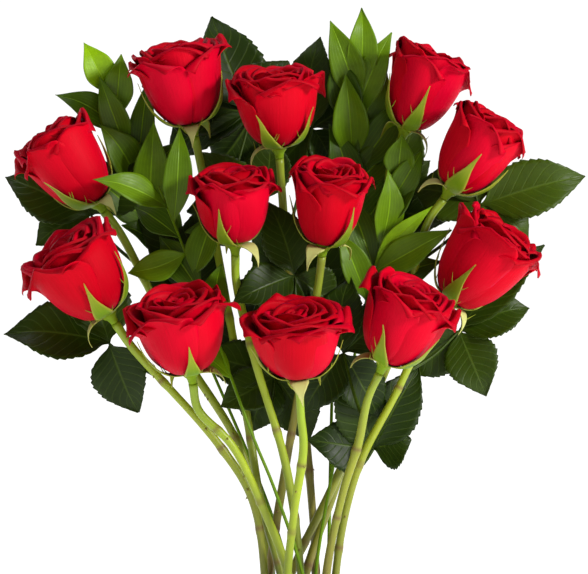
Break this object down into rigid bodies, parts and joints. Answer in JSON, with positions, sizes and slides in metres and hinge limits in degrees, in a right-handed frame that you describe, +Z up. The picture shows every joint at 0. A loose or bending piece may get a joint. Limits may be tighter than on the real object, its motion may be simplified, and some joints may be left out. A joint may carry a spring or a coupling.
{
  "type": "roses in a vase",
  "caption": "Long-stemmed red roses with rose leaves and ruscus greenery in a plain clear glass vase",
  "frame": {"origin": "centre of the flat underside of the vase, on the vase's axis", "axes": "+Z up along the vase's axis, the bouquet faces -Y, +X to the right of someone who looks at its front"},
  "size_m": [0.3813, 0.1786, 0.5831],
  "materials": {
    "vase_glass": "polished",
    "petal": "matte",
    "sepal": "satin",
    "rose_stem": "satin",
    "rose_leaf": "satin",
    "ruscus": "satin"
  },
  "bodies": {
    "root": {"vase": "vase_glass", "stem_a": "rose_stem", "calyx_a": "sepal", "bloom_a": "petal", "stem_b": "rose_stem", "calyx_b": "sepal", "bloom_b": "petal", "stem_c": "rose_stem", "calyx_c": "sepal", "bloom_c": "petal", "stem_d": "rose_stem", "calyx_d": "sepal", "bloom_d": "petal", "stem_e": "rose_stem", "calyx_e": "sepal", "bloom_e": "petal", "stem_f": "rose_stem", "calyx_f": "sepal", "bloom_f": "petal", "stem_g": "rose_stem", "calyx_g": "sepal", "bloom_g": "petal", "stem_h": "rose_stem", "calyx_h": "sepal", "bloom_h": "petal", "stem_i": "rose_stem", "calyx_i": "sepal", "bloom_i": "petal", "stem_j": "rose_stem", "calyx_j": "sepal", "bloom_j": "petal", "stem_k": "rose_stem", "calyx_k": "sepal", "bloom_k": "petal", "stem_l": "rose_stem", "calyx_l": "sepal", "bloom_l": "petal", "rose_leaf_top_left": "rose_leaf", "rose_leaf_top_right": "rose_leaf", "rose_leaf_middle_top": "rose_leaf", "rose_leaf_middle_right": "rose_leaf", "rose_leaf_left_upper": "rose_leaf", "rose_leaf_left_lower": "rose_leaf", "rose_leaf_left_inner": "rose_leaf", "rose_leaf_right_upper": "rose_leaf", "rose_leaf_right_lower": "rose_leaf", "rose_leaf_low_right": "rose_leaf", "rose_leaf_centre": "rose_leaf", "rose_leaf_centre_right": "rose_leaf", "rose_leaf_low_middle": "rose_leaf", "rose_leaf_back": "rose_leaf", "ruscus_left_top": "ruscus", "ruscus_right_top": "ruscus", "ruscus_right_mid": "ruscus", "ruscus_left_mid": "ruscus"}
  },
  "joints": []
}
